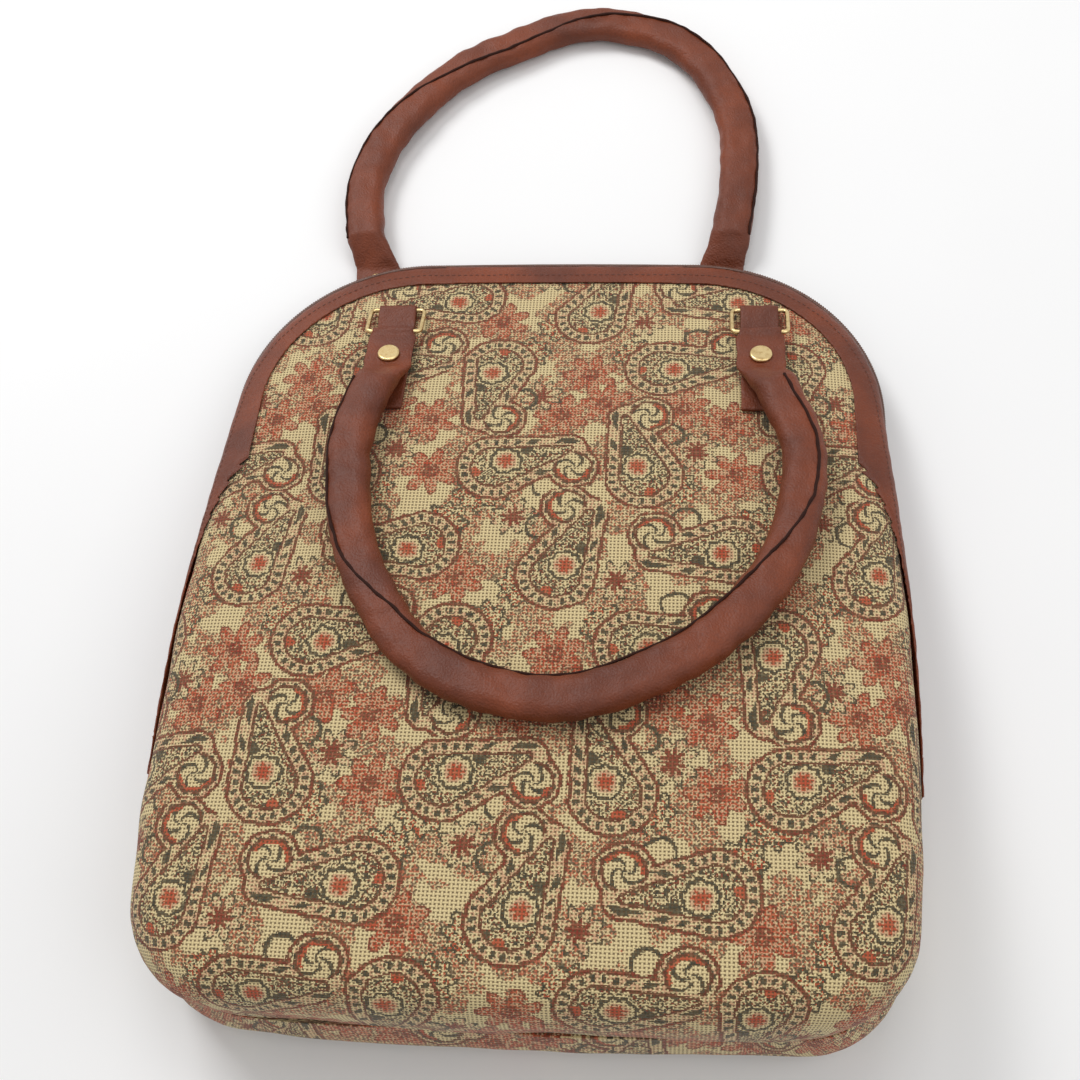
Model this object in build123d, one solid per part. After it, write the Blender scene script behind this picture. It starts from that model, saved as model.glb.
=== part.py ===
from build123d import *
import os
from math import asin, atan2, cos, degrees, hypot, radians, sin, sqrt, tan

# Tote bag lying on its back, millimetres.
# Bag frame: X to the right, Y up the bag, Z out of the front, the zip in the plane Z = 0.
# The finished bag is tilted so that its back lies flat on Z = 0.

# Bag size
BAG_HEIGHT = 405.0        # bottom seam to the rim under the zip, at the middle
BAG_WIDTH = 341.0         # at the widest line round the middle of each panel
DEPTH_BOTTOM = 93.0       # front to back at the bottom
DEPTH_TOP = 26.0          # front to back at the rim, if the flat faces ran on
PANEL_WALL = 2.4          # jute with its glued backing
RIM_Z = 4.4               # half the gap that the zip closes
SEAM_GAP = 0.15           # half the gap between the panels at the side seam
ZIP_END_Y = 104.0         # height of both ends of the zip on the sides
EDGE_CROWN = 4.0          # how far the top and bottom edges bow outwards

# Binding, lining and zip
BINDING_T = 1.2
BINDING_REACH = 13.0      # from the rim inwards, seen from the front
BINDING_Z = 19.0          # how far it reaches down the sides from the zip plane
LINING_T = 0.8
LINING_GAP = 0.6
SEAT_GAP = 0.1            # between layers that are sewn or riveted together
RUN_GAP = 0.3             # running clearance between pieces that move
TAPE_T = 0.6
TAPE_INSIDE = 8.0         # tape's edge inside the rim
COIL_D = 2.2
COIL_GAP = 1.2            # between the two coils
COIL_OUT = 2.7            # coil centre past the rim
STOP_LENGTH = 3.0
STOP_H = 2.4
SLIDER_LENGTH = 11.0
SLIDER_PLATE = 1.0
SLIDER_RIM = 1.2          # upper plate past the coils on each side
SLIDER_GAP = 0.4          # round the coils and tapes
SLIDER_LIFT = 0.4         # upper plate further out, to pass over the bindings
SLIDER_START = 22.0       # slider's middle above the zip's end
SLIDER_TRAVEL = 150.0     # the straight part of the zip on the bag's side
BRIDGE_LENGTH = 7.4
BRIDGE_WIDTH = 1.6
BRIDGE_BAR = 1.2
PULLER_LENGTH = 28.0
PULLER_WIDTH = 6.0
PULLER_T = 1.2
PULLER_WINDOW = 4.4

# Tabs, rings and handles
STRAP_T = 1.2
TAB_WIDTH = 20.0
TAB_LENGTH = 71.0         # top of the loop to the stitched end
TAB_TOP_Y = 371.2
TAB_SPACING = 190.0
TAB_OFFSET = 9.5          # both tabs sit this far to the right, seen from outside
TAB_SLOPE = 7.9           # degrees, as the panel falls to the rim
RING_WIRE = 2.4
RING_WIDTH = 28.4         # between wire centres
RING_PITCH = 18.4         # between the centres of the two bars
RING_CORNER = 2.6
FLAP_WIDTH = 26.0
FLAP_LENGTH = 26.0        # from the ring's bar to where the flap swells into the grip
FLAP_RISE = 4.8           # degrees between the flap and the plane of the handle
GRIP_WIDTH = 22.0
GRIP_T = 14.0
GRIP_LIFT = 2.3           # underside of the grip over the ring's bar
FRONT_SLOPE = 4.35        # degrees between the front handle and the zip plane
RIVET_Y = 17.5            # from the ring's bar
CAP_D = 11.4
CAP_H = 1.3
INNER_CAP_D = 9.4
INNER_CAP_H = 0.8
POST_D = 3.4
POST_GAP = 0.05

# Corner points of the two handles' routes, from the ring's bar: across, and away from it
FRONT_ROUTE = [(-111, 42), (-126, 84), (-116, 141), (-80, 191), (-15, 223), (49, 205),
               (88, 143), (97, 78), (89, 42)]
BACK_ROUTE = [(-112, 42), (-117, 76), (-108, 114), (-73, 164), (5, 204), (67, 184),
              (95, 126), (95, 78), (90, 42)]

FACE_SLOPE = (DEPTH_BOTTOM - DEPTH_TOP) / 2 / BAG_HEIGHT
LAY_ANGLE = degrees(atan2(FACE_SLOPE, 1.0))
TAB_X = (TAB_OFFSET - TAB_SPACING / 2, TAB_OFFSET + TAB_SPACING / 2)
TAB_T = 2 * STRAP_T
LOOP_R_IN = RING_WIRE / 2 + RUN_GAP
LOOP_R = LOOP_R_IN + STRAP_T
FLAP_LOOP_WIDTH = RING_WIDTH - 2 * RING_CORNER - 2 * RUN_GAP   # the straight of the ring's bar
GRIP_Z = GRIP_LIFT + GRIP_T / 2


def face_z(y):
    """Height of the flat face over the zip plane."""
    return DEPTH_BOTTOM / 2 - FACE_SLOPE * y


def outline(low, mid, high, y_low, y_top, z_low, z_top, r_low, r_high):
    """Closed outline of the bag by its half widths, its ends' heights and depths, and its corner radii."""
    return dict(low=low, mid=mid, high=high, y=(y_low, y_top), z=(z_low, z_top), r=(r_low, r_high))


# Five outlines of the panel, from the seam over the bulging side to the flat face
HALF = BAG_WIDTH / 2
BULGE_Z = DEPTH_BOTTOM / 2 - 20.7
SHOULDER_A, SHOULDER_B, SHOULDER_C = BAG_HEIGHT - 147, BAG_HEIGHT - 70, BAG_HEIGHT - 33   # fall to the rim
OUTLINES = [
    outline(HALF - 8, HALF - 7, HALF - 8, 5, BAG_HEIGHT, SEAM_GAP, SEAM_GAP, 50, 93),
    outline(HALF - 8.5, HALF, HALF - 21.5, 0, BAG_HEIGHT - 8.5, BULGE_Z, RIM_Z + 1, 47, 94),
    outline(HALF - 13.5, HALF - 5.5, HALF - 34.5, 6, SHOULDER_C, face_z(6) - 7,
            face_z(SHOULDER_C) - 6.6, 44, 84),
    outline(HALF - 31.5, HALF - 23.5, HALF - 55.5, 20, SHOULDER_B, face_z(20) - 1.75,
            face_z(SHOULDER_B) - 4.8, 36, 66),
    outline(HALF - 58.5, HALF - 51.5, HALF - 78.5, 42, SHOULDER_A, face_z(42), face_z(SHOULDER_A), 26, 46),
]
# How far each outline moves for a layer of thickness 1 inside the last: inwards, and down at both ends
LAYER_SHIFT = [(1.0, 0.5, 0.5), (1.0, 0.0, 1.0), (0.7, 0.7, 1.0), (0.3, 1.0, 1.0), (0.1, 1.0, 1.0)]


def section(o, inset=0.0, drop_low=0.0, drop_top=0.0):
    """One outline as a face, on the plane through its bottom and top points."""
    low, mid, high = o["low"] - inset, o["mid"] - inset, o["high"] - inset
    z0, z1 = o["z"][0] - drop_low, o["z"][1] - drop_top
    slope = (z1 - z0) / (o["y"][1] - o["y"][0])
    y0, y1 = o["y"][0] + inset, o["y"][1] - inset
    y_mid = (y0 + y1) / 2
    a, b = (-low, y0 + EDGE_CROWN), (low, y0 + EDGE_CROWN)
    c, d = (high, y1 - EDGE_CROWN), (-high, y1 - EDGE_CROWN)
    edges = [
        ThreePointArc(a, (0, y0), b),
        ThreePointArc(b, (mid, y_mid), c),
        ThreePointArc(c, (0, y1), d),
        ThreePointArc(d, (-mid, y_mid), a),
    ]
    shape = make_face(edges)
    shape = fillet(shape.vertices().filter_by(lambda v: v.Y < y_mid), o["r"][0] - inset)
    shape = fillet(shape.vertices().sort_by(Axis.Y)[-2:], o["r"][1] - inset)
    return Plane(origin=(0, 0, z0 - slope * o["y"][0]), x_dir=(1, 0, 0), z_dir=(0, -slope, 1)) * shape


def rim_face(inset, z):
    """The rim's outline, level, at height z."""
    level = dict(OUTLINES[0], z=(z, z))
    return section(level, inset)


def pillow(inset):
    """Half of the bag as a solid, a distance inside its outer form."""
    layers = zip(OUTLINES, LAYER_SHIFT)
    return loft([section(o, inset * i, inset * low, inset * top) for o, (i, low, top) in layers])


def above_zip_ends(z_low, z_high):
    """A block over the zip's run, between two heights."""
    size = 2 * BAG_HEIGHT
    return Pos(0, ZIP_END_Y + size / 2, (z_low + z_high) / 2) * Box(size, size, z_high - z_low)


def panel():
    """Bulging panel; its edges meet the other panel's below the zip's ends and leave the zip's gap above."""
    return pillow(0) - pillow(PANEL_WALL) - above_zip_ends(-RIM_Z, RIM_Z)


def binding():
    """Strip that wraps the rim: over the panel outside, with a lip over the panel's raw edge."""
    edge_z = RIM_Z - SEAT_GAP
    strip = pillow(-SEAT_GAP - BINDING_T) & above_zip_ends(edge_z - BINDING_T, BINDING_Z)
    strip -= pillow(-SEAT_GAP) & above_zip_ends(edge_z, DEPTH_BOTTOM)
    strip -= pillow(PANEL_WALL / 2)
    return strip - extrude(rim_face(BINDING_REACH, 0), DEPTH_BOTTOM)


def lining():
    """Half of the lining, hemmed just over the zip tape."""
    inset = PANEL_WALL + LINING_GAP
    hem_z = RIM_Z - SEAT_GAP - BINDING_T
    below = Pos(0, 0, hem_z - DEPTH_BOTTOM / 2) * Box(2 * BAG_WIDTH, 3 * BAG_HEIGHT, DEPTH_BOTTOM)
    return pillow(inset) - pillow(inset + LINING_T) - below


def rim_x(y):
    """Half width of the rim at height y on its long side arc."""
    o = OUTLINES[0]
    chord = (o["y"][1] - o["y"][0]) / 2 - EDGE_CROWN
    bow = o["mid"] - o["low"]
    radius = (chord * chord + bow * bow) / (2 * bow)
    y_mid = (o["y"][1] + o["y"][0]) / 2
    return o["mid"] - radius + sqrt(radius * radius - (y - y_mid) ** 2)


def along_rim(profile, y_end):
    """A profile swept round the rim from height y_end on one side to the other: x outwards, y along Z."""
    upper = rim_face(0, 0) & (Pos(0, y_end + BAG_HEIGHT, 0) * Rectangle(4 * BAG_HEIGHT, 2 * BAG_HEIGHT))
    path = Wire([e for e in upper.edges() if (e @ 0.5).Y > y_end + SEAT_GAP])
    outward = Vector(0, 0, 1).cross(path % 0)
    if outward.X * (path @ 0).X < 0:
        outward = -outward
    start = Plane(origin=path @ 0, x_dir=outward, z_dir=outward.cross(Vector(0, 0, 1)))
    return sweep(start * profile, path=path)


TAPE_FACE = COIL_OUT - COIL_D / 2 - SEAT_GAP   # outer side of the tape, under the coils


def zip_tape():
    """Tape: flat under the binding's lip, then turned towards the other tape under the coil."""
    top = RIM_Z - 2 * SEAT_GAP - BINDING_T
    edge = COIL_GAP / 2 + SEAT_GAP
    outer = [(-TAPE_INSIDE, top), (TAPE_FACE - 2 * TAPE_T, top),
             (TAPE_FACE, top - 2 * TAPE_T), (TAPE_FACE, edge)]
    turn = TAPE_T * tan(radians(22.5))
    inner = [(TAPE_FACE - TAPE_T, edge), (TAPE_FACE - TAPE_T, top - 2 * TAPE_T - turn),
             (TAPE_FACE - 2 * TAPE_T - turn, top - TAPE_T), (-TAPE_INSIDE, top - TAPE_T)]
    return along_rim(make_face(Polyline(*outer, *inner, close=True)), ZIP_END_Y + SEAT_GAP)


def zip_coil():
    profile = Pos(COIL_OUT, (COIL_GAP + COIL_D) / 2) * Circle(COIL_D / 2)
    return along_rim(profile, ZIP_END_Y + STOP_LENGTH + 2 * RUN_GAP)


def zip_stop(side):
    """Metal stop across both coils' ends."""
    block = Box(STOP_H, STOP_LENGTH, 2 * COIL_D + COIL_GAP)
    block = fillet(block.edges().filter_by(Axis.Y), STOP_H / 4)
    x = side * (rim_x(ZIP_END_Y) + TAPE_FACE + SEAT_GAP + STOP_H / 2)
    return Pos(x, ZIP_END_Y + RUN_GAP + STOP_LENGTH / 2, 0) * block


COIL_TOP = COIL_OUT + COIL_D / 2
SLIDER_TOP = COIL_TOP + SLIDER_GAP + SLIDER_LIFT + SLIDER_PLATE
PIVOT_OUT = SLIDER_TOP + RUN_GAP + PULLER_T / sqrt(2)
BRIDGE_H = PIVOT_OUT + PULLER_T / sqrt(2) + RUN_GAP - SLIDER_TOP + BRIDGE_BAR


def slider():
    """Slider in its own frame: x out of the bag, y along the zip, z across it."""
    plate = Box(SLIDER_PLATE, SLIDER_LENGTH, COIL_GAP + 2 * (COIL_D + SLIDER_GAP + SLIDER_RIM))
    body = Pos(SLIDER_TOP - SLIDER_PLATE / 2, 0, 0) * plate
    under = TAPE_FACE - TAPE_T - SLIDER_GAP - SLIDER_PLATE
    body += Pos(under + SLIDER_PLATE / 2, 0, 0) * Box(SLIDER_PLATE, SLIDER_LENGTH, COIL_GAP + COIL_D)
    web = (SLIDER_TOP - SLIDER_PLATE - under, SLIDER_LENGTH / 2, COIL_GAP - 2 * RUN_GAP)
    body += Pos(under + web[0] / 2, 0, 0) * Box(*web)
    for end in (-1, 1):
        leg = Box(BRIDGE_H, BRIDGE_BAR, BRIDGE_WIDTH)
        body += Pos(SLIDER_TOP + BRIDGE_H / 2, end * (BRIDGE_LENGTH - BRIDGE_BAR) / 2, 0) * leg
    body += Pos(SLIDER_TOP + BRIDGE_H - BRIDGE_BAR / 2, 0, 0) * Box(BRIDGE_BAR, BRIDGE_LENGTH, BRIDGE_WIDTH)
    return body


def puller():
    """Pull tab in the slider's frame, lying flat and pointing to the zip's near end."""
    end = (PULLER_T - PULLER_LENGTH) / 2
    outline = Pos(0, end) * RectangleRounded(PULLER_WIDTH, PULLER_LENGTH, PULLER_T / 2)
    window = Rectangle(BRIDGE_WIDTH + 2 * SLIDER_GAP, PULLER_WINDOW)
    window = Pos(0, -(PULLER_T + PULLER_WINDOW) / 2) * window
    hole = Pos(0, PULLER_WIDTH / 2 - PULLER_LENGTH + PULLER_T / 2) * Circle(PULLER_WIDTH / 5)
    plate = extrude(outline - window - hole, PULLER_T / 2, both=True)
    return Pos(PIVOT_OUT, 0, 0) * Rot(0, 90, 0) * plate


def slider_place():
    """Where the slider rests on the left side, with its y axis along its travel."""
    y0, y1 = ZIP_END_Y + SLIDER_START, ZIP_END_Y + SLIDER_START + SLIDER_TRAVEL
    along = Vector(rim_x(y0) - rim_x(y1), y1 - y0, 0).normalized()
    return Plane(origin=(-rim_x(y0), y0, 0), x_dir=Vector(0, 0, 1).cross(along), z_dir=(0, 0, -1))


def tab_seat(shell):
    """Height at the loops' centre of the sloping plane that just clears the panel under both tabs."""
    rise = tan(radians(TAB_SLOPE))
    axis_y = TAB_TOP_Y - LOOP_R
    heights = []
    for middle in TAB_X:
        for x in (middle - TAB_WIDTH / 2, middle, middle + TAB_WIDTH / 2):
            for step in range(9):
                y = axis_y - step * (TAB_LENGTH - LOOP_R) / 8
                hits = shell.find_intersection_points(Axis((x, y, -DEPTH_BOTTOM), (0, 0, 1)))
                z = max(point.Z for point, normal in hits)
                heights.append(z - rise * (axis_y - y))
    return max(heights) + SEAT_GAP


def tab():
    """Folded strip in its own frame: loop over the origin, strip along -y with its underside on z = 0."""
    tail = TAB_LENGTH - LOOP_R
    neck = 4 * LOOP_R
    across = Rot(0, 90, 0)
    strip = Pos(0, -tail / 2, TAB_T / 2) * Box(TAB_WIDTH, tail, TAB_T)
    wedge_face = make_face(Polyline((0, 0), (-neck, 0), (-neck, TAB_T), (0, 2 * LOOP_R), close=True))
    wedge = Pos(-TAB_WIDTH / 2, 0, 0) * extrude(Plane.YZ * wedge_face, TAB_WIDTH, dir=(1, 0, 0))
    loop = Pos(0, 0, LOOP_R) * across * Cylinder(LOOP_R, TAB_WIDTH)
    bore = Pos(0, 0, LOOP_R) * across * Cylinder(LOOP_R_IN, 2 * TAB_WIDTH)
    return loop + wedge + strip - bore


def ring():
    """Rectangular wire ring in its own frame: one bar on the x axis, the other at y = RING_PITCH."""
    frame = Pos(0, RING_PITCH / 2) * RectangleRounded(RING_WIDTH, RING_PITCH, RING_CORNER)
    path = frame.face().outer_wire()
    return sweep(Plane(origin=path @ 0, z_dir=path % 0) * Circle(RING_WIRE / 2), path=path)


def route(points):
    """Smooth line through a handle's corner points, each arc as large as its runs allow."""
    radii = []
    for before, here, after in zip(points, points[1:], points[2:]):
        a = (here[0] - before[0], here[1] - before[1])
        b = (after[0] - here[0], after[1] - here[1])
        turn = abs(atan2(a[0] * b[1] - a[1] * b[0], a[0] * b[0] + a[1] * b[1]))
        radii.append(0.45 * min(hypot(*a), hypot(*b)) / tan(turn / 2))
    return FilletPolyline(*points, radius=radii)


def across_route(origin, inward):
    """Plane across a flat route, its x beside the route and its y down."""
    return Plane(origin=origin, x_dir=inward.cross(Vector(0, 0, 1)), z_dir=inward)


def flap():
    """Flat end of a handle in its own frame: loop round the x axis, two leaves along +y, rivet hole."""
    start = LOOP_R + RUN_GAP
    leaf = Pos(0, (FLAP_LENGTH + start) / 2, 0) * Box(FLAP_WIDTH, FLAP_LENGTH - start, TAB_T)
    neck = Pos(0, start / 2, 0) * Box(FLAP_LOOP_WIDTH, start, TAB_T)
    loop = Rot(0, 90, 0) * Cylinder(LOOP_R, FLAP_LOOP_WIDTH)
    bore = Rot(0, 90, 0) * Cylinder(LOOP_R_IN, 2 * FLAP_WIDTH)
    post_hole = Pos(0, RIVET_Y, 0) * Cylinder(POST_D / 2 + POST_GAP, 2 * TAB_T)
    return loop + neck + leaf - bore - post_hole


def flap_places():
    """Where the two flaps sit in a handle's frame, seen from the handle's arch."""
    return [Pos(-x, 0, 0) * Rot(FLAP_RISE, 0, 0) for x in reversed(TAB_X)]


def handle(points):
    """Leather cover and core: the rings' bars on the x axis, the arch towards +y, the grip above."""
    path = Pos(0, 0, GRIP_Z) * route(points)
    core_size = (GRIP_WIDTH - 2 * STRAP_T, GRIP_T - 2 * STRAP_T)
    start = across_route(path @ 0, path % 0)
    cover = sweep(start * SlotOverall(GRIP_WIDTH, GRIP_T), path=path)
    cover -= sweep(start * SlotOverall(*core_size), path=path)
    ends = (across_route(path @ 0, path % 0), across_route(path @ 1, -(path % 1)))
    for place, end in zip(flap_places(), ends):
        flap_end = Plane(place * Pos(0, FLAP_LENGTH, 0) * Location((0, 0, 0), (-90, 0, 0)))
        cover += loft([flap_end * SlotOverall(FLAP_WIDTH, TAB_T), end * SlotOverall(GRIP_WIDTH, GRIP_T)])
        cover += place * flap()
    inner = path.trim(RUN_GAP / path.length, 1 - RUN_GAP / path.length)
    core_face = SlotOverall(core_size[0] - 2 * SEAT_GAP, core_size[1] - 2 * SEAT_GAP)
    core = sweep(across_route(inner @ 0, inner % 0) * core_face, path=inner)
    return cover, core


def rivet():
    """Domed cap, and its post with the inner cap, through a flap in the flap's frame."""
    half = TAB_T / 2 + SEAT_GAP / 2
    cap = Pos(0, RIVET_Y, half + CAP_H / 2) * Cylinder(CAP_D / 2, CAP_H)
    cap = fillet(cap.edges().sort_by(Axis.Z)[-1], CAP_H * 0.8)
    post = Pos(0, RIVET_Y, 0) * Cylinder(POST_D / 2, 2 * half)
    post += Pos(0, RIVET_Y, -half - INNER_CAP_H / 2) * Cylinder(INNER_CAP_D / 2, INNER_CAP_H)
    return cap, post


# Pieces in the bag frame; the back is the front turned round the Y axis
TURN = Rot(0, 180, 0)
front_panel = panel()
parts = {}
for front, back, solid in (
    ("front_panel", "back_panel", front_panel),
    ("lining_front", "lining_back", lining()),
    ("front_binding", "back_binding", binding()),
    ("zip_tape_front", "zip_tape_back", zip_tape()),
    ("zip_coil_front", "zip_coil_back", zip_coil()),
):
    parts[front] = solid
    parts[back] = TURN * solid
parts["zip_stop_left"] = zip_stop(-1)
parts["zip_stop_right"] = zip_stop(1)
slide = slider_place()
parts["zip_slider"] = slide.location * slider()
parts["zip_puller"] = slide.location * puller()

# Tabs and the front's rings and handle
seat_z = tab_seat(front_panel)
axis_y = TAB_TOP_Y - LOOP_R
tab_place = Pos(0, axis_y, seat_z) * Rot(-TAB_SLOPE, 0, 0)
ring_place = tab_place * Pos(0, 0, LOOP_R)
bar_step = TAB_T + RUN_GAP          # the lower bar's handle loop lies on the tab
bar_reach = sqrt(RING_PITCH ** 2 - bar_step ** 2)
folded = Rot(180 - degrees(asin(bar_step / RING_PITCH)), 0, 0)
front_bar = ring_place * Pos(0, -bar_reach, bar_step)
front_axis = Pos(0, front_bar.position.Y, front_bar.position.Z)
front_handle = front_axis * Rot(0, 0, 180) * Rot(FRONT_SLOPE, 0, 0)
cover, core = handle(FRONT_ROUTE)
parts["handle_front"] = front_handle * cover
parts["handle_core_front"] = front_handle * core
for side, x, place in zip(("left", "right"), TAB_X, reversed(flap_places())):
    parts["tab_front_" + side] = Pos(x, 0, 0) * tab_place * tab()
    parts["ring_front_" + side] = Pos(x, 0, 0) * ring_place * folded * ring()
    cap, post = rivet()
    parts["rivet_cap_front_" + side] = front_handle * place * cap
    parts["rivet_post_front_" + side] = front_handle * place * post

# Lay the bag on its back
LAY = Pos(0, 0, DEPTH_BOTTOM / 2 * cos(radians(LAY_ANGLE))) * Rot(-LAY_ANGLE, 0, 0)
parts = {name: LAY * solid for name, solid in parts.items()}

# The back's tabs, rings and handle: the rings reach on past the rim, and the handle lies on the ground
back_axis = (LAY * TURN * ring_place).position
bar_z = LOOP_R + SEAT_GAP
bar_lean = degrees(asin((bar_z - back_axis.Z) / RING_PITCH))
bar_y = back_axis.Y + RING_PITCH * cos(radians(bar_lean))
reach = max(y for x, y in BACK_ROUTE)
settle = degrees(asin((bar_z + GRIP_LIFT - SEAT_GAP) / reach))
back_handle = Pos(0, bar_y, bar_z) * Rot(-settle, 0, 0)
cover, core = handle(BACK_ROUTE)
parts["handle_back"] = back_handle * cover
parts["handle_core_back"] = back_handle * core
for side, x, place in zip(("left", "right"), TAB_X, reversed(flap_places())):
    parts["tab_back_" + side] = LAY * TURN * Pos(x, 0, 0) * tab_place * tab()
    parts["ring_back_" + side] = Pos(-x, back_axis.Y, back_axis.Z) * Rot(bar_lean, 0, 0) * ring()
    cap, post = rivet()
    parts["rivet_cap_back_" + side] = back_handle * place * cap
    parts["rivet_post_back_" + side] = back_handle * place * post

# Move the whole so that its box stands on the origin, and write one file for each piece
boxes = [solid.bounding_box() for solid in parts.values()]
x_mid = (min(b.min.X for b in boxes) + max(b.max.X for b in boxes)) / 2
y_mid = (min(b.min.Y for b in boxes) + max(b.max.Y for b in boxes)) / 2
HOME = Pos(-x_mid, -y_mid, 0)
os.makedirs("parts", exist_ok=True)
for name, solid in parts.items():
    export_step(HOME * solid, f"parts/{name}.step")

print("bag frame moved by", HOME.position, "lowest point", min(b.min.Z for b in boxes))
print("front rings' axis", (HOME * LAY * ring_place).position)
print("front handle's axis", (HOME * LAY * front_axis).position)
print("back rings' axis", (HOME * Pos(*back_axis)).position)
print("back handle's axis", (HOME * back_handle).position)
slider_home = HOME * LAY * slide.location
slider_ahead = HOME * LAY * slide.location * Pos(0, SLIDER_TRAVEL, 0)
print("slider", slider_home.position, "to", slider_ahead.position)
print("puller's pivot", (slider_home * Pos(PIVOT_OUT, 0, 0)).position)
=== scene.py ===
from math import atan, cos, hypot, pi, radians, sin, sqrt

import bmesh
import bpy
from mathutils import Matrix, Vector, noise
from mathutils.bvhtree import BVHTree


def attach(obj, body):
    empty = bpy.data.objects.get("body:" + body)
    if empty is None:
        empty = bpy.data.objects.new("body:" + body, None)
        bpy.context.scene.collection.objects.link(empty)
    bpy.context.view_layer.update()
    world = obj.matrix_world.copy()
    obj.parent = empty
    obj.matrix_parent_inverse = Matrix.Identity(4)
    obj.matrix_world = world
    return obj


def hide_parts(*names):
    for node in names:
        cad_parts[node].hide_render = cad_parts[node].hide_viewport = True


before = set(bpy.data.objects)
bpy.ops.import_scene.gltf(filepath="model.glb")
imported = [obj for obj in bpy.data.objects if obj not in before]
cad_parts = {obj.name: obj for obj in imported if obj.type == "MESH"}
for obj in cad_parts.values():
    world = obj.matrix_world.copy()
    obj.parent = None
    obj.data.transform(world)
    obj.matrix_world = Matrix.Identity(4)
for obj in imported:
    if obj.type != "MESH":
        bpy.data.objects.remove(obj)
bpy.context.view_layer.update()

# Camera, ground and light
# The bag lies on its back on a pale ground. It is seen from above its bottom edge, a little
# to the right, and lit by three wide soft lamps in a white room.
EYE = Vector((0.0676, -0.3639, 0.6993))
LOOK = Vector((-0.0954, 0.4107, -0.9067))
RIGHT = Vector((0.9954, 0.0525, -0.0809))
FOCAL_PX = 1509
IMAGE_PX = 1080

camera_data = bpy.data.cameras.new("camera")
camera_data.sensor_width = 36
camera_data.lens = 36 * FOCAL_PX / IMAGE_PX
camera_data.clip_start = 0.01
camera = bpy.data.objects.new("camera", camera_data)
back = -LOOK.normalized()
right = (RIGHT - RIGHT.dot(back) * back).normalized()
up = back.cross(right)
camera.matrix_world = Matrix.Translation(EYE) @ Matrix((right, up, back)).transposed().to_4x4()
bpy.context.scene.collection.objects.link(camera)
bpy.context.scene.camera = camera
bpy.context.scene.view_settings.view_transform = "Standard"


class Tone:
    """A value, colour or vector of a finish, for writing its maths as expressions."""

    def __init__(self, finish, socket):
        self.finish = finish
        self.socket = socket

    def math(self, operation, *others):
        values = dict(enumerate((self,) + others))
        return self.finish.node("ShaderNodeMath", {"operation": operation}, values)

    def __add__(self, other):
        return self.math("ADD", other)

    def __radd__(self, other):
        return self.math("ADD", other)

    def __sub__(self, other):
        return self.math("SUBTRACT", other)

    def __rsub__(self, other):
        return self.finish.node("ShaderNodeMath", {"operation": "SUBTRACT"}, {0: other, 1: self})

    def __mul__(self, other):
        return self.math("MULTIPLY", other)

    def __rmul__(self, other):
        return self.math("MULTIPLY", other)

    def __lt__(self, other):
        return self.math("LESS_THAN", other)

    def __gt__(self, other):
        return self.math("GREATER_THAN", other)

    def __abs__(self):
        return self.math("ABSOLUTE")

    def sine(self):
        return self.math("SINE")

    def least(self, other):
        return self.math("MINIMUM", other)

    def most(self, other):
        return self.math("MAXIMUM", other)

    def vector(self, operation, other=None, third=None):
        values = {0: self}
        if other is not None:
            values[1] = other
        if third is not None:
            values[2] = third
        output = 1 if operation in ("LENGTH", "DISTANCE", "DOT_PRODUCT") else 0
        return self.finish.node("ShaderNodeVectorMath", {"operation": operation}, values, output)

    def apart(self):
        split = self.finish.node("ShaderNodeSeparateXYZ", {}, {0: self})
        return [Tone(self.finish, split.socket.node.outputs[k]) for k in range(3)]


class Finish:
    """The surface of one material, as a Principled shader and what varies over it."""

    def __init__(self, name, roughness=0.6, metallic=0.0, specular=0.5, sheen=0.0):
        self.material = bpy.data.materials.new(name)
        self.material.use_nodes = True
        self.tree = self.material.node_tree
        self.shader = self.tree.nodes["Principled BSDF"]
        self.shader.inputs["Roughness"].default_value = roughness
        self.shader.inputs["Metallic"].default_value = metallic
        self.shader.inputs["Specular IOR Level"].default_value = specular
        self.shader.inputs["Sheen Weight"].default_value = sheen

    def node(self, kind, settings=None, values=None, output=0):
        made = self.tree.nodes.new(kind)
        for key, value in (settings or {}).items():
            setattr(made, key, value)
        for key, value in (values or {}).items():
            if isinstance(value, Tone):
                self.tree.links.new(value.socket, made.inputs[key])
            else:
                made.inputs[key].default_value = value
        return Tone(self, made.outputs[output])

    def mix(self, share, first, second):
        """Between two colours."""
        colours = {0: share, 6: first, 7: second}
        return self.node("ShaderNodeMix", {"data_type": "RGBA"}, colours, 2)

    def choose(self, share, first, second):
        """Between two vectors."""
        vectors = {0: share, 4: first, 5: second}
        return self.node("ShaderNodeMix", {"data_type": "VECTOR"}, vectors, 1)

    def place(self):
        return self.node("ShaderNodeTexCoord", {}, {}, 3)

    def grain(self, where, scale, detail=3.0, roughness=0.55):
        values = {"Vector": where, "Scale": scale, "Detail": detail, "Roughness": roughness}
        return self.node("ShaderNodeTexNoise", {}, values)

    def step(self, value, low, high):
        """From 0 at low to 1 at high."""
        values = {"Value": value, "From Min": low, "From Max": high}
        return self.node("ShaderNodeMapRange", {"clamp": True}, values)

    def colour(self, tone):
        self.tree.links.new(tone.socket, self.shader.inputs["Base Color"])

    def rough(self, tone):
        self.tree.links.new(tone.socket, self.shader.inputs["Roughness"])

    def bump(self, height, distance, strength=1.0):
        values = {"Height": height, "Distance": distance, "Strength": strength}
        raised = self.node("ShaderNodeBump", {}, values)
        self.tree.links.new(raised.socket, self.shader.inputs["Normal"])


def paint(red, green, blue):
    """A colour as the eye reads it, 0 to 255, as the shader wants it."""
    linear = []
    for level in (red, green, blue):
        level /= 255
        linear.append(level / 12.92 if level <= 0.04045 else ((level + 0.055) / 1.055) ** 2.4)
    return (*linear, 1.0)


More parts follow.
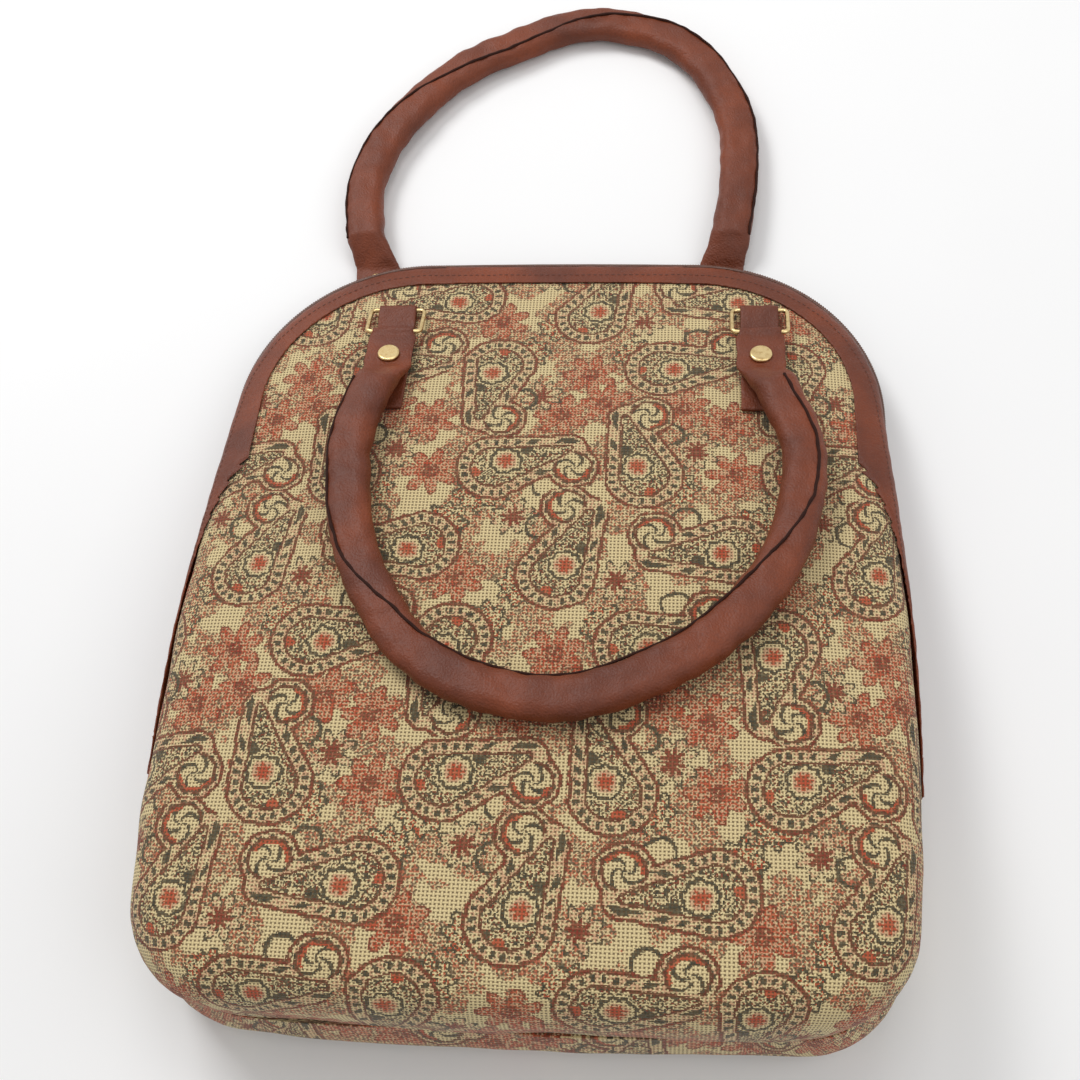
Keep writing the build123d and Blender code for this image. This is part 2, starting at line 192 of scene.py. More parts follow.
def show(name, mesh, finish):
    """An object at the origin with one finish."""
    piece = bpy.data.objects.new(name, mesh)
    bpy.context.scene.collection.objects.link(piece)
    piece.data.materials.clear()
    piece.data.materials.append(finish.material)
    return piece


GROUND_HALF = 3.0
GROUND_DROP = 0.0004        # just under the bag, so that no two faces lie in one plane
ROOM_LIGHT = 0.46           # what the white room throws on the bag
ROOM_SEEN = 1.0             # and how white it looks, to the camera and in the metal
ground_mesh = bpy.data.meshes.new("ground")
corners = [(-GROUND_HALF, -GROUND_HALF, 0), (GROUND_HALF, -GROUND_HALF, 0),
           (GROUND_HALF, GROUND_HALF, 0), (-GROUND_HALF, GROUND_HALF, 0)]
ground_mesh.from_pydata(corners, [], [(0, 1, 2, 3)])
ground_finish = Finish("pale_ground", roughness=0.9, specular=0.1)
pale = ground_finish.grain(ground_finish.place(), 3.0)
ground_finish.colour(ground_finish.mix(pale, paint(243, 243, 243), paint(250, 250, 250)))
ground = show("ground", ground_mesh, ground_finish)
ground.location.z = -GROUND_DROP

world = bpy.data.worlds.new("room")
bpy.context.scene.world = world
world.use_nodes = True
room = world.node_tree
backdrop = room.nodes["Background"]
ray = room.nodes.new("ShaderNodeLightPath")
seen = room.nodes.new("ShaderNodeMath")
seen.operation = "MAXIMUM"
room.links.new(ray.outputs["Is Camera Ray"], seen.inputs[0])
room.links.new(ray.outputs["Is Glossy Ray"], seen.inputs[1])
strength = room.nodes.new("ShaderNodeMapRange")
strength.inputs["To Min"].default_value = ROOM_LIGHT
strength.inputs["To Max"].default_value = ROOM_SEEN
room.links.new(seen.outputs[0], strength.inputs["Value"])
room.links.new(strength.outputs["Result"], backdrop.inputs["Strength"])
backdrop.inputs["Color"].default_value = (1, 1, 1, 1)


def lamp(name, place, aim, size, watts):
    """A square lamp turned towards aim."""
    data = bpy.data.lights.new(name, "AREA")
    data.size = size
    data.energy = watts
    light = bpy.data.objects.new(name, data)
    light.location = place
    light.rotation_euler = (Vector(aim) - Vector(place)).to_track_quat("-Z", "Y").to_euler()
    bpy.context.scene.collection.objects.link(light)


lamp("window", (-0.8, 0.9, 1.4), (0, 0, 0), 0.7, 15)
lamp("fill", (1.0, -0.4, 1.4), (0, 0, 0), 1.2, 6)
lamp("top", (0.1, 0.6, 1.8), (0, 0.1, 0), 0.7, 5)


# Bag frame
# The bag was sewn symmetrical about its zip and then laid on its back, so places on it are
# easier to name along and across it: x to the right, y up the bag, z out of the front.
DEPTH_BOTTOM = 0.093
DEPTH_TOP = 0.026
BAG_HEIGHT = 0.405
BOTTOM_Y = -0.296183
FACE_SLOPE = (DEPTH_BOTTOM - DEPTH_TOP) / 2 / BAG_HEIGHT
LAY = atan(FACE_SLOPE)
ZIP_END_Y = 0.104           # the zip's two ends
RIM_Z = 0.0044              # half the gap that is left for it
lay_matrix = Matrix.Translation((0, BOTTOM_Y, DEPTH_BOTTOM / 2 * cos(LAY)))
lay_matrix @= Matrix.Rotation(-LAY, 4, "X")
turned = Matrix.Rotation(pi, 4, "Y")


def cad(name):
    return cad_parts[name]


def bag_matrix(side):
    """From the bag frame of the front, or of the back turned round, to the ground's frame."""
    return lay_matrix if side == "front" else lay_matrix @ turned


def whole(mesh):
    """The same mesh with its corners joined, as a bmesh."""
    made = bmesh.new()
    made.from_mesh(mesh)
    bmesh.ops.remove_doubles(made, verts=made.verts, dist=1e-6)
    return made


def modified(name, mesh, kind, **settings):
    """A mesh after one modifier."""
    holder = bpy.data.objects.new(name, mesh)
    bpy.context.scene.collection.objects.link(holder)
    modifier = holder.modifiers.new(kind, kind)
    for key, value in settings.items():
        setattr(modifier, key, value)
    finished = holder.evaluated_get(bpy.context.evaluated_depsgraph_get())
    result = bpy.data.meshes.new_from_object(finished)
    result.name = name
    bpy.data.objects.remove(holder)
    return result


def pressed(mesh, depth):
    """Moves each corner inwards by depth(its place) and shades the mesh smooth."""
    inwards = [v.normal * -depth(v.co) for v in mesh.vertices]
    for v, move in zip(mesh.vertices, inwards):
        v.co += move
    mesh.shade_smooth()
    return mesh


# Cloth panels
# Coarse jute in an open square weave, printed with paisleys and glued to a thin backing that
# keeps the bag boxed. Each panel is one piece whose bottom, sides and shoulders turn round to
# the other panel, so the print runs on round the edge.
THREAD = 0.00175
PRINT_MIDDLE_Y = 0.222      # height on the bag where the print is counted from
PUFF_VOXEL = 0.0040
PUFF_DENT = 0.0016
DENT_SCALE = 17.0           # hollows to a metre, near enough
DENT_EDGE = 0.004           # how far below the face the hollows reach their full depth
DENT_END_Y = 0.27           # the hollows fade out from here to the shoulder
DENT_FADE = 0.03
FLAT_X = 0.093              # the flat face's corners are drawn from points this far out
FLAT_Y = (0.068, 0.232)
FLAT_RADIUS = 0.026
TURN_POWER = 1.15           # how the way out and the way down add up along the turned edge
UNDER = 0.012               # the form is carried on below the zip's plane, then cut at it
CUT_Z = 0.0003
WELD = 2e-5                 # corners closer than this are joined


def face_z(y):
    return DEPTH_BOTTOM / 2 - FACE_SLOPE * y


def thread_place(p):
    """Where a point of the outside lies on the flat cloth, in threads from the print's middle."""
    near = Vector((max(-FLAT_X, min(FLAT_X, p.x)), max(FLAT_Y[0], min(FLAT_Y[1], p.y))))
    out = Vector((p.x, p.y)) - near
    run = out.length
    past = max(0.0, run - FLAT_RADIUS)
    drop = max(0.0, face_z(p.y) - p.z)
    round_edge = (past ** TURN_POWER + drop ** TURN_POWER) ** (1 / TURN_POWER)
    reach = min(run, FLAT_RADIUS) + round_edge
    flat = near + (out.normalized() * reach if run > 1e-9 else out)
    return flat.x / THREAD, (PRINT_MIDDLE_Y - flat.y) / THREAD


def cloth_dent(p):
    """Shallow hollows, deepest round the edges of the flat face."""
    hollow = noise.noise(p * DENT_SCALE) + 0.5 * noise.noise(p * DENT_SCALE * 2.3)
    shoulder = max(0.0, min(1.0, (p.y - DENT_END_Y) / DENT_FADE))
    edge = max(0.0, min(1.0, (face_z(p.y) - p.z) / DENT_EDGE))
    return PUFF_DENT * (0.25 + 0.75 * edge) * (1 - shoulder) * max(0.0, 0.45 + hollow)


def panel_mesh(side):
    """A panel's outer form, drawn even, softened, dented and cut at the zip's plane."""
    to_bag = bag_matrix(side).inverted()
    shape = whole(cad(side + "_panel").data)
    bmesh.ops.transform(shape, matrix=to_bag, verts=shape.verts)
    for place in [v.co.copy() for v in shape.verts if v.co.z < RIM_Z + CUT_Z]:
        shape.verts.new((place.x, place.y, -UNDER))
    hull = bmesh.ops.convex_hull(shape, input=shape.verts)
    spare = [v for v in hull["geom_interior"] if isinstance(v, bmesh.types.BMVert)]
    bmesh.ops.delete(shape, geom=spare, context="VERTS")
    holes = [f for f in hull["geom_unused"] if isinstance(f, bmesh.types.BMFace)]
    bmesh.ops.delete(shape, geom=holes, context="FACES_ONLY")
    rough = bpy.data.meshes.new(side + "_rough")
    shape.to_mesh(rough)
    shape.free()
    even = modified(side + "_even", rough, "REMESH", mode="VOXEL", voxel_size=PUFF_VOXEL,
                    use_smooth_shade=True)
    soft = modified(side + "_soft", even, "SMOOTH", factor=0.5, iterations=3)
    dented = pressed(soft, cloth_dent)
    fine = modified(side + "_fine", dented, "SUBSURF", levels=1, render_levels=1)
    shape = bmesh.new()
    shape.from_mesh(fine)
    everything = shape.verts[:] + shape.edges[:] + shape.faces[:]
    cut = bmesh.ops.bisect_plane(shape, geom=everything, plane_co=(0, 0, CUT_Z),
                                 plane_no=(0, 0, 1), clear_inner=True)
    border = [e for e in cut["geom_cut"] if isinstance(e, bmesh.types.BMEdge)]
    bmesh.ops.triangle_fill(shape, edges=border)
    # above the zip's ends the panel stops short, at the zip's gap
    for v in shape.verts:
        if v.co.y > ZIP_END_Y:
            v.co.z = max(v.co.z, RIM_Z)
    bmesh.ops.remove_doubles(shape, verts=shape.verts, dist=WELD)
    bmesh.ops.dissolve_degenerate(shape, edges=shape.edges, dist=WELD)
    shape.to_mesh(fine)
    shape.free()
    layer = fine.uv_layers.new(name="cloth")
    places = [thread_place(v.co) for v in fine.vertices]
    for loop in fine.loops:
        layer.data[loop.index].uv = places[loop.vertex_index]
    fine.transform(bag_matrix(side))
    fine.name = side + "_cloth"
    return fine


# The print repeats on a grid of 84.5 by 94.8 threads that leans a little
REPEAT = (84.5, 94.8)
LEAN = 5.0 / 94.8
TILE_ORIGIN = (62.0, 58.0)
# Six paisleys in a repeat: the middle of the flower inside, the middle of the curl, and the
# side that the trim is on
PAISLEYS = [
    ((87.1, 32.7), (89.4, 12.5), 1),
    ((50.4, 31.2), (67.5, 32.5), 1),
    ((68.8, 65.6), (68.8, 46.2), -1),
    ((25.9, 61.2), (9.4, 56.2), 1),
    ((7.2, 90.2), (23.8, 80.0), -1),
    ((38.8, 91.9), (42.5, 111.2), -1),
]
BLOSSOMS = [(18.8, 27.5), (53.8, 50.0), (82.5, 70.0), (53.8, 101.2), (13.8, 121.2)]
SPRAYS = [(29.4, 35.0), (40.0, 70.0), (67.5, 92.5), (15.0, 11.2),
          (65.0, 13.8), (112.0, 16.0), (33.0, 63.0), (72.0, 104.0)]
# A paisley seen from its flower, in threads, with its curl towards x: the fat end, the run from
# there to the neck's tip and that run's square, and the curl
FAT_END = (-2.65, 2.2)
NECK_RUN = (19.85, -8.1)
NECK_SQUARE = 459.6
BODY_RADIUS = 11.2
NECK_TAPER = 5.9
CURL_MIDDLE = (19.0, 0.6)
CURL_RADIUS = 7.4
# A plainer one, only to find which paisley is nearest
PLAIN_START = (-2.6, 2.2)
PLAIN_RUN = (21.8, -1.2)
PLAIN_TAPER = 4.5
# Depths from its outline, and the ornaments of its band, its body and its sides
OUTLINE_OUT = 0.15
BAND_MIDDLE, BAND_HALF = -2.35, 1.5
SQUARES_MIDDLE, SQUARES_HALF, SQUARES_PITCH = -2.3, 0.95, 1.55
BODY_IN = -4.6
VINE_MIDDLE, VINE_RADIUS = (12.4, 7.4), 3.9
TRIM_MIDDLE, TRIM_RADIUS, TRIM_LOBES = (-6.5, 11.6), 5.6, 8.0
CREAM = paint(222, 202, 152)
CREAM_SHADE = paint(188, 160, 112)
GAP_SHADE = paint(92, 70, 42)
BROWN = paint(96, 40, 27)
MOSS = paint(48, 50, 41)
RUST = paint(176, 66, 40)
WINE = paint(124, 40, 28)
BLUSH = paint(206, 162, 126)
BODY_DOTS = [((5.4, -4.4), 1.8, MOSS), ((-8.2, 4.6), 1.6, RUST)]


def seen_from(where, x, y):
    """The place as seen from one centre of the repeat, or from its nearest copy."""
    offset = where.vector("SUBTRACT", (x + LEAN * y, y, 0))
    half_x, half_y = REPEAT[0] / 2, REPEAT[1] / 2
    return offset.vector("WRAP", (half_x, half_y, 1), (-half_x, -half_y, -1))


def nearest_centre(finish, where, centres):
    """The nearest of several centres of the repeat: the place seen from it, and the distance."""
    best, nearest = None, None
    for x, y in centres:
        offset = seen_from(where, x, y)
        distance = offset.vector("LENGTH")
        if best is None:
            best, nearest = offset, distance
        else:
            closer = distance < nearest
            best = finish.choose(closer, best, offset)
            nearest = nearest.least(distance)
    return best, nearest


def paisley_places(finish, where):
    """The place seen from the nearest paisley: x towards its curl, y towards its trimmed side."""
    best, nearest = None, None
    for (fx, fy), (hx, hy), hand in PAISLEYS:
        length = hypot(hx - fx, hy - fy)
        ex, ey = (hx - fx) / length, (hy - fy) / length
        offset = seen_from(where, fx, fy)
        along = offset.vector("DOT_PRODUCT", (ex, ey - LEAN * ex, 0))
        aside = offset.vector("DOT_PRODUCT", (-ey * hand, (ex + LEAN * ey) * hand, 0))
        local = finish.node("ShaderNodeCombineXYZ", {}, {0: along, 1: aside, 2: 0.0})
        # distance to the line from body to curl, less a width that tapers
        share = ((along - PLAIN_START[0]) * (1 / PLAIN_RUN[0])).most(0.0).least(1.0)
        line_x = share * PLAIN_RUN[0] + PLAIN_START[0]
        line_y = share * PLAIN_RUN[1] + PLAIN_START[1]
        line = finish.node("ShaderNodeCombineXYZ", {}, {0: line_x, 1: line_y, 2: 0.0})
        distance = local.vector("DISTANCE", line) + share * PLAIN_TAPER - BODY_RADIUS
        if best is None:
            best, nearest = local, distance
        else:
            closer = distance < nearest
            best = finish.choose(closer, best, local)
            nearest = nearest.least(distance)
    return best


def angle(finish, y, x):
    """The direction in which x and y lie from a centre."""
    return finish.node("ShaderNodeMath", {"operation": "ARCTAN2"}, {0: y, 1: x})


def lobes(distance, turn, count, inside, reach, phase=0.0):
    """How far outside a flower with so many lobes a place lies."""
    return distance - inside - abs((turn * (count / 2) + phase).sine()) * reach


def print_cloth():
    """Printed jute. Sizes are in threads, and each step draws over the ones before it: a distance
    under a radius is a filled shape, and one near to a radius is a drawn line."""
    f = Finish("printed_jute", roughness=0.82, specular=0.25, sheen=0.15)
    cloth = f.node("ShaderNodeUVMap", {"uv_map": "cloth"}, {})
    u, v = cloth.apart()[:2]
    # the ink takes thread by thread, so its edges step along the threads
    inked = cloth.vector("SNAP", (0.5, 0.5, 0.5))
    waver = f.grain(cloth, 0.35, 1.0, 0.5).vector("SUBTRACT", (0.5, 0.5, 0.5))
    ink_u, ink_v = inked.apart()[:2]
    tile_x = ink_u + TILE_ORIGIN[0] + (ink_v + TILE_ORIGIN[1]) * LEAN
    tile = f.node("ShaderNodeCombineXYZ", {}, {0: tile_x, 1: ink_v + TILE_ORIGIN[1], 2: 0.0})
    tile = tile.vector("MULTIPLY_ADD", (1, 1, 0), waver.vector("MULTIPLY", (1.6, 1.6, 0)))
    scrawl = (f.grain(tile, 0.19, 2.0, 0.5) * 88.0).sine()
    scrawl_too = (f.grain(tile.vector("ADD", (31.0, 7.0, 0)), 0.23, 2.0, 0.5) * 72.0).sine()
    speckle = f.grain(tile, 0.85, 2.0, 0.6)

    # Paisley: body, neck and curl as one outline
    p = paisley_places(f, tile)
    x, y = p.apart()[:2]
    from_fat_x, from_fat_y = x - FAT_END[0], y - FAT_END[1]
    share = from_fat_x * (NECK_RUN[0] / NECK_SQUARE) + from_fat_y * (NECK_RUN[1] / NECK_SQUARE)
    share = share.most(0.0).least(1.0)
    line_x = share * NECK_RUN[0] + FAT_END[0]
    line_y = share * NECK_RUN[1] + FAT_END[1]
    line = f.node("ShaderNodeCombineXYZ", {}, {0: line_x, 1: line_y, 2: 0.0})
    body = p.vector("DISTANCE", line) + share * NECK_TAPER - BODY_RADIUS
    curl = p.vector("DISTANCE", (*CURL_MIDDLE, 0))
    hook = curl - CURL_RADIUS
    outline = body.math("SMOOTH_MIN", hook, 1.6)
    around = angle(f, from_fat_y, from_fat_x) * 10.5
    around_curl = angle(f, y - CURL_MIDDLE[1], x - CURL_MIDDLE[0])
    on_body = body < hook
    along_band = on_body * around + (1 - on_body) * around_curl * 5.5
    squares = (along_band * (pi / SQUARES_PITCH)).sine() > 0.1
    tiny = (abs(outline - SQUARES_MIDDLE) < SQUARES_HALF) * squares
    ink = f.mix(tiny, f.mix(scrawl > 0.1, CREAM, BLUSH), MOSS)

    # Inside the body
    rays = angle(f, y, x)
    heart = p.vector("LENGTH")
    inner = f.mix(scrawl > 0.1, CREAM, MOSS)
    inner = f.mix((scrawl_too > 0.55) * (speckle > 0.5), inner, WINE)
    ring = heart + (rays * 9.0).sine() * 0.3
    inner = f.mix(ring < 5.3, inner, CREAM)
    inner = f.mix(abs(ring - 4.3) < 0.5, inner, MOSS)
    inner = f.mix(heart < 2.9, inner, BLUSH)
    inner = f.mix(heart + (rays * 7.0).sine() * 0.6 < 1.9, inner, RUST)
    for dot, radius, colour in BODY_DOTS:
        inner = f.mix(p.vector("DISTANCE", (*dot, 0)) < radius, inner, colour)
    # Inside the curl: a pale swirl in a dark ring, with a red crescent
    pinwheel = (around_curl * 4.0 + curl * 1.5).sine() > 0.55
    disc = f.mix(pinwheel, CREAM, MOSS)
    disc = f.mix((curl > 3.9) * (y > 1.2), disc, RUST)
    disc = f.mix(abs(curl - 5.2) < 0.45, disc, BROWN)
    in_curl = curl < 5.6

    # Ground of the print: lacy scrawls in red and dark green, with bare cream between
    patches = f.step(f.grain(tile, 0.085, 2.0, 0.5), 0.44, 0.52)
    lace = f.mix(scrawl_too > 0.2, CREAM, RUST)
    lace = f.mix((scrawl > 0.5) * (speckle > 0.42), lace, MOSS)
    lace = f.mix(0.22, lace, BLUSH)
    back_ground = f.mix((patches + speckle * 0.5) > 0.72, CREAM, lace)
    spray_place, spray = nearest_centre(f, tile, SPRAYS)
    sx, sy = spray_place.apart()[:2]
    spray_turn = angle(f, sy, sx)
    leaves = lobes(spray, spray_turn, 7, 3.6, 4.4)
    back_ground = f.mix(leaves < 0.0, back_ground, f.mix(scrawl > -0.1, BLUSH, RUST))
    back_ground = f.mix(abs(leaves) < 0.36, back_ground, WINE)
    back_ground = f.mix((spray < 2.6) * (speckle > 0.46), back_ground, WINE)
    blossom_place, blossom = nearest_centre(f, tile, BLOSSOMS)
    bx, by = blossom_place.apart()[:2]
    petal_turn = angle(f, by, bx)
    petal = lobes(blossom, petal_turn, 8, 2.2, 3.9)
    back_ground = f.mix(petal < 0.0, back_ground, f.mix(scrawl > 0.3, CREAM, BLUSH))
    back_ground = f.mix(abs(petal) < 0.42, back_ground, MOSS)
    core = lobes(blossom, petal_turn, 8, 1.2, 2.2, 0.8)
    back_ground = f.mix(core < 0.0, back_ground, WINE)
    # Tendril by the neck and lacy trim at the fat side
    vine = abs(p.vector("DISTANCE", (*VINE_MIDDLE, 0)) - VINE_RADIUS) + f.step(x, 9.0, 5.0) * 3
    back_ground = f.mix(vine < 0.55, back_ground, MOSS)
    trim_turn = angle(f, y - TRIM_MIDDLE[1], x - TRIM_MIDDLE[0])
    trim = p.vector("DISTANCE", (*TRIM_MIDDLE, 0)) + (trim_turn * TRIM_LOBES).sine() * 0.9 - TRIM_RADIUS
    lacy_trim = f.mix(scrawl_too > 0.0, CREAM, f.mix(scrawl > 0.0, RUST, MOSS))
    back_ground = f.mix(trim < 0.0, back_ground, lacy_trim)
    back_ground = f.mix(abs(trim) < 0.4, back_ground, MOSS)

    design = f.mix(outline < OUTLINE_OUT, back_ground, BROWN)
    design = f.mix(abs(outline - BAND_MIDDLE) < BAND_HALF, design, ink)
    design = f.mix(outline < BODY_IN, design, inner)
    design = f.mix(in_curl * (body > -3.2), design, disc)
    design = f.mix((abs(outline + 0.3) < 0.5) * (speckle > 0.5), design, WINE)

    # Weave: a thread every half turn of each wave, over and under in turn, with gaps between
    wave_u = (u * pi).sine()
    wave_v = (v * pi).sine()
    over = wave_u * wave_v
    warp = abs(wave_u) * (over * 0.3 + 0.7)
    weft = abs(wave_v) * (0.7 - over * 0.3)
    height = warp.most(weft)
    slub = f.grain(cloth.vector("MULTIPLY", (0.16, 1.1, 1)), 1.0, 2.0)
    slub = (slub + f.grain(cloth.vector("MULTIPLY", (1.1, 0.16, 1)), 1.0, 2.0)) * 0.5
    gaps = f.step(height + slub * 0.2, 0.70, 0.52)
    worn = f.step(f.grain(cloth, 0.9, 2.0), 0.5, 0.75)
    tone = f.mix(worn * 0.18, design, CREAM)
    tone = f.mix(f.step(slub, 0.35, 0.7) * 0.22, tone, CREAM_SHADE)
    tone = f.mix(gaps * 0.85, tone, GAP_SHADE)
    f.colour(tone)
    f.bump(height + slub * 0.4, 0.0007, 0.8)
    return f


print_finish = print_cloth()
for side in ("front", "back"):
    panel = show(side + "_cloth", panel_mesh(side), print_finish)
    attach(panel, "bag")
    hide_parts(side + "_panel")

# Lining
# Plain cotton sewn in just under the zip; only its hem could be seen.
def mottled(name, roughness, scale, dark, light, depth, specular=0.5):
    """A finish that wavers between two colours, with its lighter spots raised."""
    f = Finish(name, roughness=roughness, specular=specular)
    tone = f.grain(f.place(), scale)
    f.colour(f.mix(tone, dark, light))
    f.bump(tone, depth)
    return f


def dress(name, finish):
    """Gives a CAD piece its finish."""
    materials = cad(name).data.materials
    materials.clear()
    materials.append(finish.material)


lining_finish = mottled("plain_lining", 0.9, 900.0, paint(150, 128, 92), paint(176, 152, 112), 0.0002)
for side in ("front", "back"):
    dress("lining_" + side, lining_finish)

# Leather
# Chestnut leathercloth with a fine pebble, a little darker in its hollows, with darker clouds and paler
# flecks.
CHESTNUT = paint(122, 56, 26)
CHESTNUT_DARK = paint(88, 38, 17)
CHESTNUT_LIGHT = paint(150, 78, 42)
PEBBLE = 1100.0             # pebbles to a metre


def leather(name):
    f = Finish(name, roughness=0.5, specular=0.35)
    where = f.place()
    pebbles = {"Vector": where, "Scale": PEBBLE}
    cells = f.node("ShaderNodeTexVoronoi", {"feature": "SMOOTH_F1"}, pebbles)
    fine = f.grain(where, PEBBLE * 1.6, 3.0)
    cloud = f.grain(where, 26.0, 4.0)
    tone = f.mix(f.step(cloud, 0.35, 0.68), CHESTNUT_DARK, CHESTNUT)
    tone = f.mix(f.step(fine, 0.58, 0.8) * 0.4, tone, CHESTNUT_LIGHT)
    # painted shade: the hollows between the pebbles, where the bump sinks, are darkened
    tone = f.mix(f.step(cells, 0.45, 0.8) * 0.45, tone, CHESTNUT_DARK)
    f.colour(tone)
    f.rough(f.step(fine, 0.1, 0.9) * 0.18 + 0.4)
    crease = f.grain(where, 160.0, 3.0)
    f.bump(fine * 0.35 - cells * 0.8 + crease * 0.9, 0.0005, 0.75)
    return f


leather_finish = leather("chestnut_leather")


def softened(name, voxel, rounds, wrinkle, wrinkle_scale):
    """A CAD piece drawn even, with its edges eased and its surface a little wrinkled."""
    shape = whole(cad(name).data)
    joined = bpy.data.meshes.new(name + "_joined")
    shape.to_mesh(joined)
    shape.free()
    even = modified(name + "_even", joined, "REMESH", mode="VOXEL", voxel_size=voxel,
                    use_smooth_shade=True)
    soft = modified(name + "_soft", even, "SMOOTH", factor=0.5, iterations=rounds)
    soft.name = name + "_soft"
    return pressed(soft, lambda p: wrinkle * max(0.0, 0.4 + noise.noise(p * wrinkle_scale)))


def row_of(name, path, pitch, size, finish):
    """A row of small beads made by Geometry Nodes: size is across, above and along the path."""
    line = bpy.data.curves.new(name + "_path", "CURVE")
    line.dimensions = "3D"
    spline = line.splines.new("POLY")
    spline.points.add(len(path) - 1)
    for point, place in zip(spline.points, path):
        point.co = (*place, 1)
    holder = bpy.data.objects.new(name + "_path", line)
    bpy.context.scene.collection.objects.link(holder)
    tree = bpy.data.node_groups.new(name + "_row", "GeometryNodeTree")
    inputs = {"Path": "Geometry", "Pitch": "Float", "Size": "Vector", "Finish": "Material"}
    for label, kind in inputs.items():
        tree.interface.new_socket(label, in_out="INPUT", socket_type="NodeSocket" + kind)
    tree.interface.new_socket("Row", in_out="OUTPUT", socket_type="NodeSocketGeometry")
    source = tree.nodes.new("NodeGroupInput")
    points = tree.nodes.new("GeometryNodeCurveToPoints")
    points.mode = "LENGTH"
    bead = tree.nodes.new("GeometryNodeMeshUVSphere")
    bead.inputs["Segments"].default_value = 8
    bead.inputs["Rings"].default_value = 5
    bead.inputs["Radius"].default_value = 0.5
    placed = tree.nodes.new("GeometryNodeInstanceOnPoints")
    real = tree.nodes.new("GeometryNodeRealizeInstances")
    dressed = tree.nodes.new("GeometryNodeSetMaterial")
    result = tree.nodes.new("NodeGroupOutput")
    for start, end in (
        (source.outputs["Path"], points.inputs["Curve"]),
        (source.outputs["Pitch"], points.inputs["Length"]),
        (points.outputs["Points"], placed.inputs["Points"]),
        (points.outputs["Rotation"], placed.inputs["Rotation"]),
        (bead.outputs["Mesh"], placed.inputs["Instance"]),
        (source.outputs["Size"], placed.inputs["Scale"]),
        (placed.outputs["Instances"], real.inputs["Geometry"]),
        (real.outputs["Geometry"], dressed.inputs["Geometry"]),
        (source.outputs["Finish"], dressed.inputs["Material"]),
        (dressed.outputs["Geometry"], result.inputs["Row"]),
    ):
        tree.links.new(start, end)
    modifier = holder.modifiers.new("row", "NODES")
    modifier.node_group = tree
    given = {"Pitch": pitch, "Size": size, "Finish": finish.material}
    for item in tree.interface.items_tree:
        if item.in_out == "INPUT" and item.name in given:
            modifier[item.identifier] = given[item.name]
    holder.update_tag()
    bpy.context.view_layer.update()
    finished = holder.evaluated_get(bpy.context.evaluated_depsgraph_get())
    mesh = bpy.data.meshes.new_from_object(finished)
    bpy.data.objects.remove(holder)
    mesh.name = name
    mesh.shade_smooth()
    return show(name, mesh, finish)


RIM_HALF, RIM_CORNER, RIM_TOP = 0.1634, 0.093, 0.4045
ROW_END_Y = 0.112           # the rows along the rim start and end here


def rim_places(offset, z, steps=64):
    """Points round the rim, left end to right end, each with the direction out of the bag."""
    half, corner, top = RIM_HALF, RIM_CORNER, RIM_TOP
    bend = Vector((half - corner, top - corner))
    places = []
    for k in range(steps + 1):
        y = ROW_END_Y + (bend.y - ROW_END_Y) * k / steps
        places.append((Vector((half + offset, y, z)), Vector((1, 0, 0))))
    for k in range(1, steps):
        angle = pi / 2 * k / steps
        out = Vector((cos(angle), sin(angle), 0))
        places.append((Vector((bend.x, bend.y, z)) + out * (corner + offset), out))
    for k in range(steps // 2 + 1):
        x = bend.x * (1 - 2 * k / steps)
        places.append((Vector((x, top + offset, z)), Vector((0, 1, 0))))
    mirrored = [(Vector((-at.x, at.y, at.z)), Vector((-out.x, out.y, 0))) for at, out in places[:-1]]
    return mirrored + places[::-1]


# Binding
# A strip of leathercloth round the rim of each panel, lipped over its raw edge and sewn down
# with one row of stitches.
STITCH_PITCH = 0.0032
STITCH_SIZE = (0.0007, 0.0007, 0.0021)
STITCH_AT = (-0.003, 0.010)     # in from the rim, and from the zip's middle plane
SHOT = 0.05                     # the row is dropped on the strip from this far out
MISSED = 0.02                   # a drop that ends further off has missed the strip
thread_finish = mottled("dark_thread", 0.6, 900.0, paint(58, 26, 14), paint(92, 44, 24), 0.0001)
for side in ("front", "back"):
    name = side + "_binding"
    strip_mesh = softened(name, voxel=0.0008, rounds=2, wrinkle=0.0003, wrinkle_scale=140.0)
    strip = show(name + "_leather", strip_mesh, leather_finish)
    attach(strip, "bag")
    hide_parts(name)
    corners = [v.co for v in strip.data.vertices]
    surface = BVHTree.FromPolygons(corners, [f.vertices[:] for f in strip.data.polygons])
    seam = []
    for at, out in rim_places(*STITCH_AT):
        start = bag_matrix(side) @ (at + (out + Vector((0, 0, 1))) * SHOT)
        target = bag_matrix(side) @ at
        hit = surface.ray_cast(start, (target - start).normalized())[0]
        if hit is not None and (hit - target).length < MISSED:
            seam.append(hit)
    stitches = row_of(side + "_binding_stitches", seam, STITCH_PITCH, STITCH_SIZE, thread_finish)
    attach(stitches, "bag")

# Zip
# Brown nylon coils on dark tape, closed round the rim, with metal stops, slider and puller.
# The coils' turns lie in rows on the two CAD coils.
COIL_AT = (0.0027, 0.0017)      # past the rim, and from the zip's middle plane
COIL_PITCH = 0.0014
COIL_TURN = (0.0024, 0.0024, 0.0010)
tape_finish = mottled("zip_tape", 0.8, 1500.0, paint(44, 18, 14), paint(70, 32, 24), 0.0002)
coil_finish = mottled("zip_coil", 0.35, 700.0, paint(58, 28, 18), paint(104, 60, 38), 0.0003)


def brass(name):
    f = Finish(name, roughness=0.28, metallic=1.0)
    wear = f.grain(f.place(), 420.0, 4.0)
    f.colour(f.mix(f.step(wear, 0.4, 0.75), paint(214, 190, 140), paint(168, 140, 92)))
    f.rough(f.step(wear, 0.2, 0.8) * 0.25 + 0.16)
    f.bump(wear, 0.00008, 0.4)
    return f


